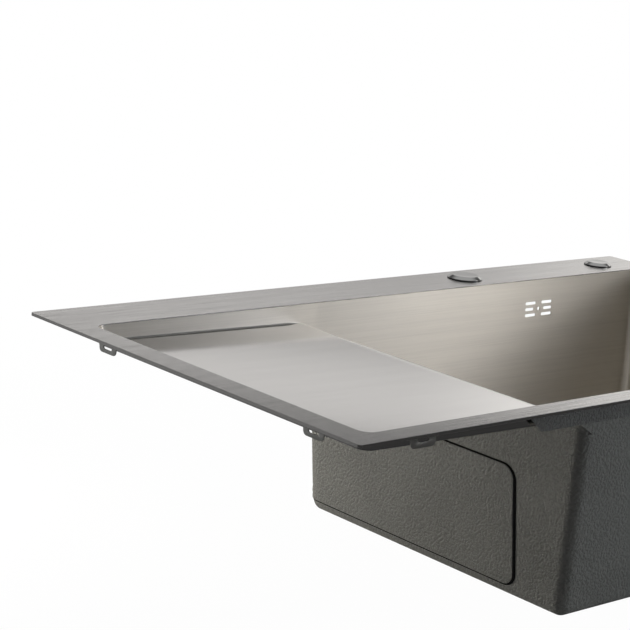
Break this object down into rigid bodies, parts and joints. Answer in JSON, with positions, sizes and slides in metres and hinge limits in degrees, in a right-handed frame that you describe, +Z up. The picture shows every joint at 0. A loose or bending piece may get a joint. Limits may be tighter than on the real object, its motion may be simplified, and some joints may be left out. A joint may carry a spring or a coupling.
{
  "type": "kitchen sink",
  "caption": "Inset stainless steel kitchen sink with a shallow drainer at the left, a deep bowl at the right, a tap deck with covered holes and a basket strainer waste.",
  "frame": {"origin": "middle of the front lip's lower edge, in the plane where the rim rests on the worktop", "axes": "+X along the front edge to the right, from the drainer to the bowl; +Y to the rear, towards the tap deck; +Z up"},
  "size_m": [0.86, 0.48, 0.3137],
  "materials": {
    "satin_steel": "fine satin grain along the length",
    "bright_steel": "polished with a spun top",
    "raw_steel": "bare stamped sheet",
    "grey_coat": "matt grey paint",
    "pebbled_coat": "matt sprayed coat with a pebbled surface",
    "coated_pad": "sound pad under the same sprayed coat",
    "black_rubber": "matt",
    "black_plastic": "matt moulded",
    "white_plastic": "satin moulded",
    "yellow_brass": "turned"
  },
  "bodies": {
    "sink": {"rim_plate": "satin_steel", "drainer_tray": "satin_steel", "bowl": "satin_steel", "rear_panel": "satin_steel", "bowl_floor": "satin_steel", "bowl_coating": "pebbled_coat", "front_rail": "grey_coat", "tabs_front": "raw_steel", "tabs_left": "raw_steel", "tabs_right": "raw_steel", "tabs_rear": "raw_steel", "pad_left": "coated_pad", "pad_right": "coated_pad", "pad_rear": "coated_pad", "pad_bottom": "coated_pad", "strainer_dish": "bright_steel", "flange_gasket": "black_rubber", "waste_body": "white_plastic", "waste_hub": "white_plastic", "waste_tail": "white_plastic", "body_gasket": "black_rubber", "clamp_screw": "bright_steel", "screw_insert": "yellow_brass"},
    "tap_cover": {"tap_cover_cap": "bright_steel", "tap_cover_seal": "black_rubber", "tap_cover_collar": "black_plastic"},
    "small_cover": {"small_cover_cap": "bright_steel", "small_cover_seal": "black_rubber", "small_cover_collar": "black_plastic"},
    "basket": {"strainer_basket": "bright_steel", "basket_stopper": "black_rubber", "basket_knob": "bright_steel"}
  },
  "joints": [
    {"name": "tap_cover_lift", "type": "slide", "parent": "sink", "child": "tap_cover", "axis": [0, 0, 1], "range_m": [0, 0.06]},
    {"name": "small_cover_lift", "type": "slide", "parent": "sink", "child": "small_cover", "axis": [0, 0, 1], "range_m": [0, 0.06]},
    {"name": "basket_lift", "type": "slide", "parent": "sink", "child": "basket", "axis": [0, 0, 1], "range_m": [0, 0.26]}
  ]
}
